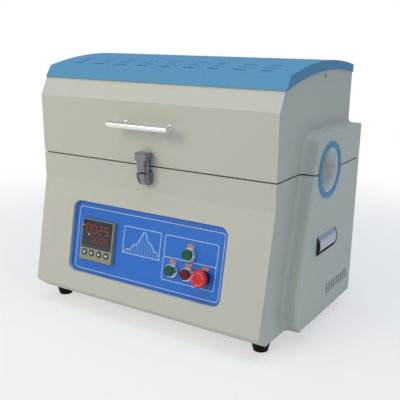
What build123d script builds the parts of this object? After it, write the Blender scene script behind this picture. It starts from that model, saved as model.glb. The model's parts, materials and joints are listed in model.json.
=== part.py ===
from build123d import *
import math
import os

os.makedirs("parts", exist_ok=True)

# Everything is drawn from the upright front (y = 0, the depth runs to +y), the parting line of lid
# and base (z = 0) and the middle of the width (x = 0), and set down on its feet at the end.

# Housing
body_width = 615.0
body_depth = 371.0
base_height = 335.0
crease_drop = 59.0
panel_foot_drop = 310.0
panel_lean = 52.0
sole_setback = 21.0
lid_front_height = 134.0
band_depth = 21.0
band_top = 173.0
cap_edge_depth = 38.5
cap_edge_height = 197.5
cap_crown_depth = 210.0
cap_crown_height = 220.2
cap_back_height = 207.0
sheet = 1.5
seam_gap = 3.0
rim_flange = 12.0
sole_flange = 58.0
bend_radius = 2.0

# End boxes that carry the tube ports
end_box_reach = 33.0
end_box_top = 78.0
end_box_top_front = 126.5
end_box_knee_depth = 50.0
end_box_knee_drop = 252.0
end_box_toe_depth = 51.5
end_box_toe_drop = 305.0
end_box_sole_depth = 74.0
end_box_corner = 25.0
end_box_blend = 10.0
end_box_edge = 4.0

# Tube ports and heating chamber
port_depth = 186.0
port_bore = 91.0
port_ring_width = 121.0
port_ring_bore = 95.0
port_ring_thickness = 2.5
port_ring_gap = 1.0
collar_wall = 12.5
collar_fit = 0.3
chamber_length = 460.0
chamber_bore = 104.0
insulation_width = 210.0
insulation_height = 105.0
insulation_gap = 0.4
trough_sheet = 1.2
trough_fit = 0.2
heater_wire = 6.4
heater_runs = 7
heater_first_angle = 18.0
heater_end_margin = 18.0

# Ventilated cover of the lid
cap_sheet = 1.5
cap_fit = 0.3
skirt_front_depth = 31.0
skirt_front_height = 175.0
skirt_crown_height = 202.0
skirt_back_height = 192.0
top_slot_length = 28.0
top_slot_width = 6.0
top_slot_columns = 9
top_slot_pitch = 61.0
top_slot_rows = 3
top_slot_row_pitch = 22.0
top_slot_first_row = 65.0
top_slot_back_row = 265.0
cap_tab_width = 20.0
cap_tab_drop = 36.0

# Control panel, measured down the leaning front from the crease
window_width = 420.0
window_top = 44.5
window_height = 168.0
window_corner = 20.0
window_recess = 9.0
plate_margin = 8.0
plate_thickness = 1.5

# Temperature controller
controller_size = 96.0
controller_across = -132.0
controller_down = 132.0
controller_proud = 9.0
controller_body = 90.0
controller_length = 72.0
controller_corner = 3.0
display_width = 88.0
display_height = 65.0
display_rise = 13.8
display_thickness = 1.6
key_radius = 7.2
key_drop = 30.0
key_pitch = 21.6
key_thickness = 2.4
key_proud = 0.9
key_travel = 0.8
key_fit = 0.3

# Push buttons and emergency stop
button_across = 120.0
button_pitch = 40.0
button_upper_down = 116.0
button_lower_down = 158.5
bezel_radius = 14.5
bezel_height = 12.0
button_radius = 11.6
button_proud = 5.0
button_travel = 3.0
button_fit = 0.3
shank_radius = 10.9
shank_fit = 0.1
shank_length = 20.0
block_size = 30.0
block_length = 26.0
collar_height = 9.5
plunger_radius = 8.0
mushroom_radius = 20.0
mushroom_rise = 14.0
mushroom_thickness = 13.0
mushroom_lip = 5.0
spigot_radius = 5.0
spigot_length = 6.0
stop_travel = 4.0
running_fit = 0.05

# Lid handle
handle_length = 158.0
handle_diameter = 15.0
handle_height = 87.0
handle_reach = 35.0
handle_post_spread = 116.0
handle_post_radius = 5.0

# Over-centre latch: pivots on the base, hook over a keeper on the lid
latch_pivot_reach = 17.0
latch_pivot_drop = 15.0
link_offset = 2.0
link_drop = 15.0
latch_pin_radius = 1.5
latch_width = 28.0
lever_top_drop = 13.0
lever_length = 26.0
lever_tip_width = 23.0
lever_reach = 23.0
lever_tip_reach = 17.0
lever_wall = 1.5
lever_taper_start = 14.0
ear_spread = 24.4
ear_thickness = 1.5
bracket_height = 21.0
bracket_thickness = 1.5
hook_rest = 18.0
hook_gap = 0.3
keeper_reach = 9.0
keeper_width = 15.8
claw_reach = 27.0
claw_top = 31.0
claw_shoulder = 16.0
claw_stem_width = 19.0
claw_stem_drop = 10.0
spring_wire = 1.8
spring_eye_wall = 1.1
spring_spread = 18.6
spring_slit = 2.6

# Rear hinges
hinge_spread = 400.0
hinge_width = 60.0
hinge_leaf_height = 38.0
hinge_leaf_thickness = 2.5
hinge_knuckle_radius = 6.0
hinge_pin_radius = 3.0
hinge_knuckle_gap = 0.3
hinge_back = 6.5

# Feet
foot_radius = 21.8
foot_tip_radius = 15.8
foot_height = 29.0
foot_spread = 559.0
foot_front_depth = 15.0
foot_back_margin = 40.0
foot_screw_radius = 4.0

# Carrying grips and vents of the end boxes
grip_depth = 190.0
grip_top_drop = 139.0
grip_length = 100.0
grip_height = 43.0
grip_bulge = 7.0
grip_lip = 4.5
grip_slot = 10.0
grip_cup_depth = 26.0
grip_sheet = 1.5
grip_cheek = 3.0
vent_depth = 277.5
vent_drop = 281.0
vent_slot_height = 26.0
vent_slot_width = 6.0
vent_slots = 9
vent_pitch = 15.0

# Rear panel and cable gland
rear_width = 540.0
rear_top_drop = 62.0
rear_height = 240.0
rear_lap = 12.0
rear_slots = 14
rear_slot_pitch = 12.0
rear_slot_height = 50.0
rear_slot_drop = 150.0
rear_slot_spread = 300.0
gland_across = 220.0
gland_drop = 262.0
gland_bore = 12.0
gland_reach = 22.0
gland_radius = 12.0
gland_inner = 12.0

# Electrical parts in the base
rail_length = 230.0
rail_width = 35.0
rail_height = 7.5
rail_depth = 250.0
rail_across = 90.0
contactor_width = 45.0
contactor_depth = 75.0
contactor_height = 82.0
terminal_width = 72.0
terminal_height = 42.0
sink_width = 100.0
sink_depth = 90.0
sink_height = 38.0
sink_across = -110.0
sink_fins = 9
relay_width = 45.0
relay_depth = 58.0
relay_height = 26.0

# Screws
screw_head_radius = 3.6
screw_head_height = 2.2
screw_radius = 1.9
screw_length = 8.0

half_width = body_width / 2
end_half_width = half_width + end_box_reach
panel_length = math.hypot(panel_lean, panel_foot_drop - crease_drop)
panel_cos = (panel_foot_drop - crease_drop) / panel_length
panel_sin = panel_lean / panel_length
panel_plane = Plane(origin=(0, 0, -crease_drop), x_dir=(1, 0, 0), z_dir=(0, -panel_cos, panel_sin))
seam_half = seam_gap / 2
hinge_axis_depth = body_depth + hinge_back
plate_face = -window_recess
link_depth = -latch_pivot_reach + link_offset
link_height = -latch_pivot_drop - link_drop


def block(x_low, x_high, y_low, y_high, z_low, z_high):
    middle = ((x_low + x_high) / 2, (y_low + y_high) / 2, (z_low + z_high) / 2)
    return Pos(*middle) * Box(x_high - x_low, y_high - y_low, z_high - z_low)


def side_prism(outline, reach):
    return extrude(Plane.YZ * outline, reach, both=True)


def rod_x(radius, x_low, x_high, y, z):
    rod = Cylinder(radius, x_high - x_low)
    return Pos((x_low + x_high) / 2, y, z) * Rot(0, 90, 0) * rod


def rod_y(radius, y_low, y_high, x, z):
    rod = Cylinder(radius, y_high - y_low)
    return Pos(x, (y_low + y_high) / 2, z) * Rot(90, 0, 0) * rod


def round_bar(start, stop, radius):
    along = Vector(*stop) - Vector(*start)
    bar = Cylinder(radius, along.length, align=(Align.CENTER, Align.CENTER, Align.MIN))
    return Plane(origin=start, z_dir=along) * bar


def on_panel(across, down, out):
    return panel_plane * Pos(across, -down, out)


def lathe(points):
    # A turned solid about the local z axis from (radius, height) points.
    face = make_face(Polyline(*points, close=True))
    return revolve(Plane.XZ * face, Axis.Z)


def mirrored(solid):
    return solid.mirror(Plane.YZ)


# Housing outlines

def housing_outline():
    front = Polyline(
        (cap_edge_depth, cap_edge_height),
        (band_depth, band_top),
        (0, lid_front_height),
        (0, -crease_drop),
        (-panel_lean, -panel_foot_drop),
        (-sole_setback, -base_height),
        (body_depth, -base_height),
        (body_depth, cap_back_height),
    )
    crown = ThreePointArc(
        (body_depth, cap_back_height),
        (cap_crown_depth, cap_crown_height),
        (cap_edge_depth, cap_edge_height),
    )
    return make_face([front, crown])


def end_box_outline():
    face = make_face(Polyline(
        (end_box_sole_depth, -base_height),
        (end_box_toe_depth, -end_box_toe_drop),
        (end_box_knee_depth, -end_box_knee_drop),
        (end_box_top_front, end_box_top),
        (body_depth, end_box_top),
        (body_depth, -base_height),
        close=True,
    ))
    corner = face.vertices().sort_by_distance(Vector(end_box_top_front, end_box_top, 0))[0]
    return fillet(corner, end_box_corner)


def is_side_corner(edge):
    middle = edge.center()
    on_side = abs(abs(middle.X) - half_width) < 0.01
    inside = -base_height + 1 < middle.Z < end_box_top + 1
    return on_side and inside and end_box_knee_depth - 1 < middle.Y < body_depth - 1


def housing_envelope():
    envelope = side_prism(housing_outline(), half_width) + side_prism(end_box_outline(), end_half_width)
    envelope = fillet([e for e in envelope.edges() if is_side_corner(e)], end_box_blend)
    outer = [e for e in envelope.edges() if abs(abs(e.center().X) - end_half_width) < 0.01]
    return fillet(outer, end_box_edge)


def housing_hollow():
    body = side_prism(offset(housing_outline(), -sheet, kind=Kind.INTERSECTION), half_width - sheet)
    ends = side_prism(offset(end_box_outline(), -sheet), end_half_width - sheet)
    return body + ends


def end_box_front(height):
    # Depth at which the leaning front of an end box stands at a height.
    rise = (height + end_box_knee_drop) / (end_box_top + end_box_knee_drop)
    return end_box_knee_depth + rise * (end_box_top_front - end_box_knee_depth)


def plan_block(inset, z_low, z_high):
    # The housing's plan near the parting line, drawn in by an inset.
    back = body_depth - inset
    body = block(-half_width + inset, half_width - inset, inset, back, z_low, z_high)
    reach = end_half_width - inset
    front = end_box_front(seam_half + 2 * sheet) + inset
    return body + block(-reach, reach, front, back, z_low, z_high)


def port_rod(radius):
    return rod_x(radius, -2 * body_width, 2 * body_width, port_depth, 0)


def below(height):
    return block(-body_width, body_width, -body_depth, 2 * body_depth, -2 * base_height, height)


def above(height):
    return block(-body_width, body_width, -body_depth, 2 * body_depth, height, 2 * base_height)


# Base housing

def rounded_window(grow, out_low, out_high):
    shape = RectangleRounded(window_width + 2 * grow, window_height + 2 * grow, window_corner + grow)
    seat = on_panel(0, window_top + window_height / 2, out_low)
    return extrude(seat * shape, out_high - out_low)


def vent_cut(side):
    slots = []
    for i in range(vent_slots):
        y = vent_depth + (i - (vent_slots - 1) / 2) * vent_pitch
        slot = extrude(SlotOverall(vent_slot_height, vent_slot_width), 3 * sheet, both=True)
        slots.append(Pos(side * (end_half_width - sheet / 2), y, -vent_drop) * Rot(0, 90, 0) * slot)
    return slots


def grip_window(side, z_low, z_high):
    x_low, x_high = sorted((side * (end_half_width - 3 * sheet), side * (end_half_width + sheet)))
    y_low = grip_depth - grip_length / 2
    return block(x_low, x_high, y_low, y_low + grip_length, z_low, z_high)


def base_shell():
    shell = housing_envelope() & below(-seam_half)
    hollow = housing_hollow() & block(
        -body_width, body_width, -body_depth, 2 * body_depth,
        -base_height + sheet, -seam_half - sheet,
    )
    shell -= hollow
    shell -= plan_block(sheet + rim_flange, -2 * sheet - seam_half, 0)
    sole = block(
        -half_width + sole_flange, half_width - sole_flange,
        sole_flange, body_depth - sole_flange,
        -base_height - sheet, -base_height + 2 * sheet,
    )
    shell -= sole
    shell -= block(
        -rear_width / 2 + rear_lap, rear_width / 2 - rear_lap,
        body_depth - 2 * sheet, body_depth + sheet,
        -rear_top_drop - rear_height + rear_lap, -rear_top_drop - rear_lap,
    )
    shell -= port_rod(port_bore / 2 + collar_wall + collar_fit)
    shell += rounded_window(sheet, -window_recess, -sheet)
    shell -= rounded_window(0, -2 * window_recess, window_recess)
    for x, y in foot_places():
        shell -= Pos(x, y, -base_height) * Cylinder(foot_screw_radius + shank_fit, 6 * sheet)
    for side in (-1, 1):
        for cut in vent_cut(side):
            shell -= cut
        shell -= grip_window(side, -grip_top_drop - grip_height, -grip_top_drop)
    return shell


def bottom_pan():
    clear = sheet + trough_fit
    low = -base_height + sheet
    reach = half_width - clear
    pan = block(-reach, reach, -sole_setback + 2 * sheet, body_depth - clear, low, low + sheet)
    for x, y in foot_places():
        pan -= Pos(x, y, low) * Cylinder(foot_screw_radius + shank_fit, 6 * sheet)
    return pan


def rear_panel():
    panel = block(
        -rear_width / 2, rear_width / 2, body_depth, body_depth + sheet,
        -rear_top_drop - rear_height, -rear_top_drop,
    )
    for group in (-1, 1):
        for i in range(rear_slots):
            x = group * rear_slot_spread / 2 + (i - (rear_slots - 1) / 2) * rear_slot_pitch
            z = -rear_slot_drop
            panel -= block(
                x - vent_slot_width / 2, x + vent_slot_width / 2,
                body_depth - sheet, body_depth + 2 * sheet,
                z - rear_slot_height / 2, z + rear_slot_height / 2,
            )
    panel -= rod_y(gland_radius - 2 + shank_fit, 0, 2 * body_depth, gland_across, -gland_drop)
    for x, z in rear_screw_places():
        panel -= rod_y(screw_radius + shank_fit, 0, 2 * body_depth, x, z)
    return panel


def rear_screw_places():
    inset = rear_lap / 2
    x = rear_width / 2 - inset
    heights = (-rear_top_drop - inset, -rear_top_drop - rear_height / 2, -rear_top_drop - rear_height + inset)
    return [(side * x, z) for side in (-1, 1) for z in heights]


def screw(length):
    # Pan head screw, its head above z = 0 and its shank below.
    head = Cylinder(screw_head_radius, screw_head_height, align=(Align.CENTER, Align.CENTER, Align.MIN))
    rim = head.edges().sort_by(Axis.Z)[-1]
    head = fillet(rim, screw_head_height / 2)
    shank = Cylinder(screw_radius, length, align=(Align.CENTER, Align.CENTER, Align.MAX))
    return head + shank


def rear_screws():
    turn = Rot(-90, 0, 0)
    return [Pos(x, body_depth + sheet, z) * turn * screw(sheet) for x, z in rear_screw_places()]


def cable_gland():
    length = gland_reach + gland_inner + sheet
    nut = extrude(RegularPolygon(gland_radius, 6), gland_reach * 0.35)
    dome = Pos(0, 0, gland_reach * 0.35) * Cone(
        gland_radius * 0.86, gland_radius * 0.7, gland_reach * 0.65,
        align=(Align.CENTER, Align.CENTER, Align.MIN),
    )
    thread = Pos(0, 0, -gland_inner - sheet) * Cylinder(
        gland_radius - 2, gland_inner + sheet, align=(Align.CENTER, Align.CENTER, Align.MIN),
    )
    lock = Pos(0, 0, -sheet - 4) * extrude(RegularPolygon(gland_radius, 6), 4)
    gland = nut + dome + thread + lock
    gland -= Cylinder(gland_bore / 2, 3 * length)
    return Pos(gland_across, body_depth + sheet, -gland_drop) * Rot(-90, 0, 0) * gland


# Feet

def foot_places():
    rows = (foot_front_depth, body_depth - foot_back_margin)
    return [(side * foot_spread / 2, y) for side in (-1, 1) for y in rows]


def foot():
    recess = foot_screw_radius * 2
    return lathe([
        (foot_screw_radius + shank_fit, 0),
        (foot_radius, 0),
        (foot_radius, -foot_height * 0.18),
        (foot_tip_radius, -foot_height),
        (recess, -foot_height),
        (recess, -foot_height * 0.5),
        (foot_screw_radius + shank_fit, -foot_height * 0.5),
    ])


def feet():
    return [Pos(x, y, -base_height) * foot() for x, y in foot_places()]


def foot_screws():
    head = foot_screw_radius * 1.7
    top = 3 * sheet
    seat = -foot_height * 0.5
    shape = lathe([
        (0, top), (foot_screw_radius, top), (foot_screw_radius, seat),
        (head, seat), (head, seat - foot_screw_radius), (0, seat - foot_screw_radius),
    ])
    return [Pos(x, y, -base_height) * shape for x, y in foot_places()]


# Decks and heating chamber, the lid's half mirrored from the base's half

def chamber_half(radius):
    return rod_x(radius, -chamber_length / 2, chamber_length / 2, port_depth, 0)


def chamber_block(grow, z_low, z_high):
    reach = chamber_length / 2 + grow
    side = insulation_width / 2 + grow
    return block(-reach, reach, port_depth - side, port_depth + side, z_low, z_high)


def deck():
    top = -seam_half - sheet
    clear = sheet + trough_fit
    plate = plan_block(clear, top - sheet, top)
    plate -= chamber_block(trough_fit + trough_sheet + trough_fit, -base_height, 0)
    plate -= port_rod(port_bore / 2 + collar_wall + collar_fit)
    return plate


def trough():
    depth = insulation_height + trough_fit
    lip = -seam_half - 2 * sheet
    case = chamber_block(trough_fit + trough_sheet, -depth - trough_sheet, -seam_half)
    case += chamber_block(trough_fit + trough_sheet + rim_flange, lip - trough_sheet, lip)
    case -= chamber_block(trough_fit, -depth, 0)
    case -= port_rod(port_bore / 2 + collar_wall + collar_fit)
    return case


def insulation():
    body = chamber_block(0, -insulation_height, -insulation_gap / 2)
    return body - chamber_half(chamber_bore / 2)


def collars():
    outer = port_bore / 2 + collar_wall
    ring = rod_x(outer, chamber_length / 2, end_half_width, port_depth, 0)
    ring -= rod_x(port_bore / 2, 0, body_width, port_depth, 0)
    half = ring & below(-insulation_gap / 2)
    return [half, mirrored(half)]


def port_rings():
    start = end_half_width
    ring = rod_x(port_ring_width / 2, start, start + port_ring_thickness, port_depth, 0)
    rim = ring.edges().filter_by(GeomType.CIRCLE).sort_by(Axis.X)[-1]
    ring = fillet(rim, port_ring_thickness / 2)
    ring -= rod_x(port_ring_bore / 2, 0, body_width, port_depth, 0)
    half = ring & below(-port_ring_gap / 2)
    return [half, mirrored(half)]


def heater_angles():
    step = (180 - 2 * heater_first_angle) / (heater_runs - 1)
    return [180 + heater_first_angle + i * step for i in range(heater_runs)]


def heater_point(angle, x):
    turn = math.radians(angle)
    return (x, port_depth + chamber_bore / 2 * math.cos(turn), chamber_bore / 2 * math.sin(turn))


def heater():
    # One wire: runs along the bore, joined in turn at alternate ends by short links.
    reach = chamber_length / 2 - heater_end_margin
    radius = heater_wire / 2
    angles = heater_angles()
    wire = None
    for i, angle in enumerate(angles):
        x, y, z = heater_point(angle, 0)
        run = rod_x(radius, -reach, reach, y, z)
        wire = run if wire is None else wire + run
        for end in (-reach, reach):
            wire += Pos(*heater_point(angle, end)) * Sphere(radius)
        if i:
            end = reach if i % 2 else -reach
            wire += round_bar(heater_point(angles[i - 1], end), heater_point(angle, end), radius)
    return wire


def to_lid(solid):
    return solid.mirror(Plane.XY)


def thermocouple():
    z = -insulation_height * 0.3
    tip = port_depth + math.sqrt((chamber_bore / 2) ** 2 - z ** 2) + 1
    wall = port_depth + insulation_width / 2 + trough_fit + trough_sheet
    probe = rod_y(3.0, tip, wall + 20, 0, z)
    head = rod_y(9.0, wall + trough_fit, wall + 24, 0, z)
    cap = rod_y(11.0, wall + 24, wall + 40, 0, z)
    return probe + head + cap


def thermocouple_hole():
    return rod_y(3.2, port_depth, body_depth, 0, -insulation_height * 0.3)


def lid_buffers():
    # Rubber stops in the rim of the base that carry the closed lid.
    shape = Cylinder(5.0, seam_gap - 0.2, align=(Align.CENTER, Align.CENTER, Align.MIN))
    x = half_width - sheet - rim_flange / 2
    depths = (rim_flange, end_box_top_front / 2)
    return [Pos(side * x, y, -seam_half) * shape for side in (-1, 1) for y in depths]


# Lid

def lid_shell():
    shell = housing_envelope() & above(seam_half)
    hollow = housing_hollow() & above(seam_half + sheet)
    shell -= hollow
    shell -= plan_block(sheet + rim_flange, 0, 2 * sheet + seam_half)
    shell -= block(
        -half_width + sheet, half_width - sheet,
        cap_edge_depth + rim_flange, body_depth - sheet - rim_flange,
        end_box_top, 2 * base_height,
    )
    shell -= port_rod(port_bore / 2 + collar_wall + collar_fit)
    for x, y, z in cap_screw_places():
        shell -= rod_x(screw_radius + shank_fit, x - 5, x + 5, y, z)
    for x in (-handle_post_spread / 2, handle_post_spread / 2):
        shell -= rod_y(screw_radius + shank_fit, -5, 5, x, handle_height)
    return shell


def skirt_cut():
    arc = ThreePointArc(
        (skirt_front_depth, skirt_front_height),
        (cap_crown_depth, skirt_crown_height),
        (body_depth, skirt_back_height),
    )
    rest = Polyline(
        (body_depth, skirt_back_height),
        (2 * body_depth, skirt_back_height),
        (2 * body_depth, -2 * base_height),
        (-body_depth, -2 * base_height),
        (-body_depth, band_top),
        (band_depth, band_top),
        (skirt_front_depth, skirt_front_height),
    )
    return side_prism(make_face([arc, rest]), body_width)


def top_slots():
    rows = []
    for start in (top_slot_first_row, top_slot_back_row):
        rows += [start + i * top_slot_row_pitch for i in range(top_slot_rows)]
    cuts = []
    for y in rows:
        for i in range(top_slot_columns):
            x = (i - (top_slot_columns - 1) / 2) * top_slot_pitch
            slot = extrude(SlotOverall(top_slot_length, top_slot_width), cap_edge_height, both=True)
            cuts.append(Pos(x, y, cap_edge_height) * slot)
    return cuts


def lid_cap():
    outer = side_prism(
        offset(housing_outline(), cap_fit + cap_sheet, kind=Kind.INTERSECTION),
        half_width + cap_fit + cap_sheet,
    )
    inner_outline = offset(housing_outline(), cap_fit, kind=Kind.INTERSECTION)
    cover = outer - side_prism(inner_outline, half_width + cap_fit)
    cover -= skirt_cut()
    cuts = top_slots()
    cover -= cuts
    return cover


def cap_brackets():
    # Angle brackets under the cover, which take the screws in the lid's sides.
    x = half_width - sheet - cap_fit - cap_sheet
    y_low = cap_crown_depth - cap_tab_width / 2
    y_high = y_low + cap_tab_width
    top = cap_crown_height + cap_sheet
    bracket = block(x, x + cap_sheet, y_low, y_high, top - cap_tab_drop, top)
    bracket += block(x - cap_tab_width, x, y_low, y_high, top - 2 * cap_sheet, top)
    bracket &= side_prism(offset(housing_outline(), cap_fit / 2, kind=Kind.INTERSECTION), half_width)
    y = cap_crown_depth
    hole = rod_x(screw_radius + shank_fit, 0, body_width, y, cap_screw_height())
    bracket -= hole
    return [bracket, mirrored(bracket)]


def cap_screw_height():
    return skirt_crown_height - 3 * screw_head_radius


def cap_screw_places():
    return [(side * half_width, cap_crown_depth, cap_screw_height()) for side in (-1, 1)]


def cap_screws():
    return [
        Pos(x, y, z) * Rot(0, math.copysign(90, x), 0) * screw(screw_length)
        for x, y, z in cap_screw_places()
    ]


def handle_bar():
    half = handle_length / 2
    bar = rod_x(handle_diameter / 2, -half, half, -handle_reach, handle_height)
    ends = bar.edges().filter_by(GeomType.CIRCLE)
    return chamfer(ends, 1.0)


def handle_posts():
    stop = -handle_reach + handle_diameter / 2 - 1
    spread = handle_post_spread / 2
    post = rod_y(handle_post_radius, stop, 0, spread, handle_height)
    post -= rod_x(handle_diameter / 2, 0, body_width, -handle_reach, handle_height)
    washer = rod_y(handle_post_radius + 2, -1.5, 0, spread, handle_height)
    post += washer
    post += rod_y(screw_radius, 0, 4 * sheet, spread, handle_height)
    return [post, mirrored(post)]


# Control panel

def button_places():
    return {
        "power": (button_across, button_upper_down),
        "start": (button_across - button_pitch, button_lower_down),
        "stop": (button_across, button_lower_down),
    }


def stop_place():
    return (button_across + button_pitch, button_lower_down)


def control_plate():
    plate = rounded_window(plate_margin, plate_face - plate_thickness, plate_face)
    opening = controller_body + 2 * shank_fit
    cut = Box(opening, opening, 6 * plate_thickness)
    plate -= on_panel(controller_across, controller_down, plate_face) * cut
    hole = Cylinder(shank_radius + shank_fit, 6 * plate_thickness)
    for across, down in [*button_places().values(), stop_place()]:
        plate -= on_panel(across, down, plate_face) * hole
    return plate


def key_places():
    start = controller_across - 1.5 * key_pitch
    return [(start + i * key_pitch, controller_down + key_drop) for i in range(4)]


def controller_case():
    face = extrude(
        RectangleRounded(controller_size, controller_size, controller_corner), controller_proud,
    )
    rim = face.edges().group_by(Axis.Z)[-1]
    face = chamfer(rim, 1.2)
    body = Box(
        controller_body, controller_body, controller_length,
        align=(Align.CENTER, Align.CENTER, Align.MAX),
    )
    case = on_panel(controller_across, controller_down, plate_face) * (face + body)
    top = plate_face + controller_proud
    case -= display_seat(0.1, display_thickness - 0.4, top)
    pocket = Cylinder(
        key_radius + key_fit, key_thickness + key_travel,
        align=(Align.CENTER, Align.CENTER, Align.MAX),
    )
    for across, down in key_places():
        case -= on_panel(across, down, top) * pocket
    return case


def display_seat(grow, depth, top):
    shape = RectangleRounded(display_width + 2 * grow, display_height + 2 * grow, 1.5)
    seat = on_panel(controller_across, controller_down - display_rise, top - depth)
    return extrude(seat * shape, display_thickness)


def controller_window():
    return display_seat(0, display_thickness - 0.4, plate_face + controller_proud)


def key(place):
    shape = Cylinder(key_radius, key_thickness, align=(Align.CENTER, Align.CENTER, Align.MIN))
    rim = shape.edges().sort_by(Axis.Z)[-1]
    shape = fillet(rim, 0.6)
    across, down = place
    top = plate_face + controller_proud
    return on_panel(across, down, top + key_proud - key_thickness) * shape


def bezel():
    bore = button_radius + button_fit
    return lathe([
        (0, 1.0), (bore, 1.0), (bore, bezel_height - 0.6), (bore + 0.6, bezel_height),
        (bezel_radius - 0.9, bezel_height), (bezel_radius, bezel_height - 1.4),
        (bezel_radius, bezel_height * 0.5), (bezel_radius + 1.0, bezel_height * 0.45),
        (bezel_radius + 1.0, 0), (shank_radius, 0),
        (shank_radius, -shank_length), (0, -shank_length),
    ])


def button_bezels():
    return [on_panel(*place, plate_face) * bezel() for place in button_places().values()]


def button(place):
    low = 1.0 + button_travel + 0.2
    top = bezel_height + button_proud
    shape = lathe([
        (0, low), (button_radius, low), (button_radius, top - 1.2), (button_radius - 1.2, top - 0.2),
        (button_radius - 2.6, top), (button_radius - 3.4, top - 0.8), (0, top - 0.8),
    ])
    return on_panel(*place, plate_face) * shape


def contact_blocks():
    shape = Box(
        block_size, block_size, block_length, align=(Align.CENTER, Align.CENTER, Align.MAX),
    )
    shape = chamfer(shape.edges().filter_by(Axis.Z), 3)
    depth = plate_face - shank_length
    return [on_panel(*place, depth) * shape for place in [*button_places().values(), stop_place()]]


def stop_collar():
    bore = plunger_radius + running_fit
    shape = lathe([
        (0, -shank_length), (shank_radius, -shank_length), (shank_radius, 0),
        (bezel_radius + 1.0, 0), (bezel_radius + 1.0, collar_height * 0.4),
        (bezel_radius - 1.5, collar_height), (bore, collar_height), (bore, -shank_length * 0.6),
        (0, -shank_length * 0.6),
    ])
    return on_panel(*stop_place(), plate_face) * shape


def stop_plunger():
    low = -shank_length * 0.6 + stop_travel + 0.3
    shape = lathe([
        (0, low), (plunger_radius, low), (plunger_radius, mushroom_rise - 0.3),
        (spigot_radius, mushroom_rise - 0.3), (spigot_radius, mushroom_rise + spigot_length),
        (0, mushroom_rise + spigot_length),
    ])
    return on_panel(*stop_place(), plate_face) * shape


def stop_mushroom():
    low = mushroom_rise
    top = mushroom_rise + mushroom_thickness
    bore = spigot_radius + running_fit
    reach = mushroom_radius
    outline = [
        Polyline(
            (0, top - 0.8), (0, low + spigot_length + 0.3), (bore, low + spigot_length + 0.3),
            (bore, low), (plunger_radius + 2, low), (reach - 2, low + mushroom_lip - 1),
            (reach, low + mushroom_lip + 1),
        ),
        ThreePointArc(
            (reach, low + mushroom_lip + 1), (reach - 1.4, low + mushroom_lip + 5.4), (reach - mushroom_lip, top),
        ),
        Polyline((reach - mushroom_lip, top), (reach * 0.55, top), (reach * 0.5, top - 0.8), (0, top - 0.8)),
    ]
    shape = revolve(Plane.XZ * make_face(outline), Axis.Z)
    return on_panel(*stop_place(), plate_face) * shape


# Latch

def latch_bracket():
    low = -latch_pivot_drop - bracket_height * 2 / 3
    high = -latch_pivot_drop + bracket_height / 3
    plate = block(-ear_spread / 2, ear_spread / 2, -bracket_thickness, 0, low, high)
    ear_outline = make_face(Polyline(
        (0, low + 4), (-bracket_thickness, low + 4),
        (-latch_pivot_reach - 2.2, -latch_pivot_drop - 3),
        (-latch_pivot_reach - 3.0, -latch_pivot_drop),
        (-latch_pivot_reach - 1.5, -latch_pivot_drop + 2.0),
        (-latch_pivot_reach + 3.0, -latch_pivot_drop + 2.0),
        (-bracket_thickness, high), (0, high), close=True,
    ))
    ears = side_prism(ear_outline, ear_spread / 2)
    ears -= block(
        -ear_spread / 2 + ear_thickness, ear_spread / 2 - ear_thickness,
        -2 * lever_reach, -bracket_thickness, -base_height, 0,
    )
    bracket = plate + ears
    return bracket - pivot_rod(latch_pin_radius + shank_fit / 2, body_width)


def pivot_rod(radius, length):
    return rod_x(radius, -length / 2, length / 2, -latch_pivot_reach, -latch_pivot_drop)


def link_rod(radius, length):
    return rod_x(radius, -length / 2, length / 2, link_depth, link_height)


def latch_pivot_pins():
    # A rivet through each ear, so that the springs can pass between them.
    inner = ear_spread / 2 - ear_thickness
    pin = rod_x(latch_pin_radius, inner, latch_width / 2, -latch_pivot_reach, -latch_pivot_drop)
    return [pin, mirrored(pin)]


def link_pin():
    return link_rod(latch_pin_radius, latch_width - 2 * lever_wall)


def lever_prism(inset, back):
    top = -lever_top_drop - inset
    low = -lever_top_drop - lever_length + inset
    front = -lever_reach + inset
    tip = -lever_tip_reach + inset
    profile = make_face(Polyline(
        (back, top), (front + 2, top), (front, top - 2), (front + 0.5, top - 7),
        (tip - 1.0, low + 3), (tip + 2.5, low), (back, low), close=True,
    ))
    return side_prism(profile, latch_width)


def lever_plan(inset):
    half = latch_width / 2 - inset
    tip = lever_tip_width / 2 - inset
    top = -lever_top_drop + 1
    low = -lever_top_drop - lever_length
    face = make_face(Polyline(
        (-half, top), (half, top), (half, top - lever_taper_start), (tip, low), (-tip, low),
        (-half, top - lever_taper_start), close=True,
    ))
    return extrude(Plane.XZ * face, 2 * lever_reach, both=True)


def latch_lever():
    # A deep cup that covers the bracket, open to the back and to the top behind its front wall.
    back = -bracket_thickness - 0.5
    lever = lever_prism(0, back) & lever_plan(0)
    hollow = lever_prism(lever_wall, 1.0) & lever_plan(lever_wall)
    lever -= hollow
    slot = block(
        -latch_width / 2 + lever_wall, latch_width / 2 - lever_wall,
        -lever_reach + lever_wall, 1.0, -lever_top_drop - 3, 0,
    )
    lever -= slot
    low = link_height - latch_pin_radius - 2 * lever_wall
    for side in (-1, 1):
        x = side * spring_spread / 2
        lever -= block(x - spring_slit / 2, x + spring_slit / 2, -2 * lever_reach, link_depth, low, 0)
    lever -= pivot_rod(latch_pin_radius + running_fit, body_width)
    return lever - link_rod(latch_pin_radius + running_fit, latch_width - 2 * lever_wall + 0.4)


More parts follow.
